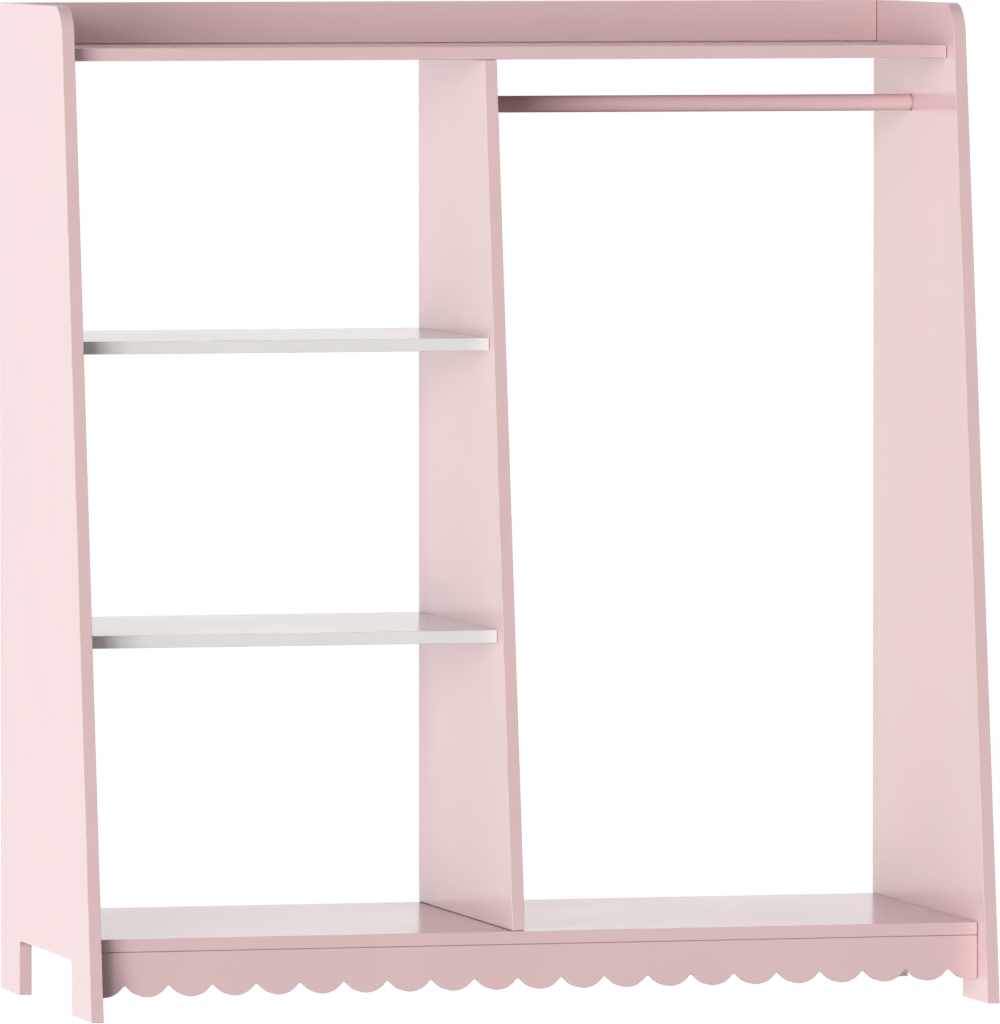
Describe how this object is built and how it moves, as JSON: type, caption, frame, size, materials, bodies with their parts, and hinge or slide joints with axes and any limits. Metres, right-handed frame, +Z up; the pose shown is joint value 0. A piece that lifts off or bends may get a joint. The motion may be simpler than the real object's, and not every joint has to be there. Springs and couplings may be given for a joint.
{
  "type": "open wardrobe for a child's room",
  "caption": "Open pink wardrobe with leaning side panels, shelves in the left bay, a hanging rail in the right bay, a top shelf with a back rail and a scalloped apron.",
  "frame": {"origin": "on the floor, at the middle of the width and of the floor depth", "axes": "+Z up, -Y out of the open front, +X to the right when facing the front"},
  "size_m": [1.1, 0.5, 1.18],
  "materials": {
    "pink_lacquer": "pale pink satin lacquer sprayed on fibreboard",
    "white_lacquer": "white satin lacquer sprayed on fibreboard",
    "pink_rail": "pale pink satin lacquer on a turned wooden pole",
    "beech": "bare beech",
    "zinc_plated_steel": "bright zinc plate",
    "die_cast_zinc": "tumbled die-cast zinc"
  },
  "bodies": {
    "root": {"left_side_panel": "pink_lacquer", "right_side_panel": "pink_lacquer", "centre_divider": "pink_lacquer", "top_shelf": "pink_lacquer", "back_rail": "pink_lacquer", "bottom_shelf": "pink_lacquer", "scalloped_apron": "pink_lacquer", "upper_shelf": "white_lacquer", "lower_shelf": "white_lacquer", "hanging_rail": "pink_rail", "wood_dowels": "beech", "cam_bolts": "zinc_plated_steel", "cam_discs": "die_cast_zinc"}
  },
  "joints": []
}
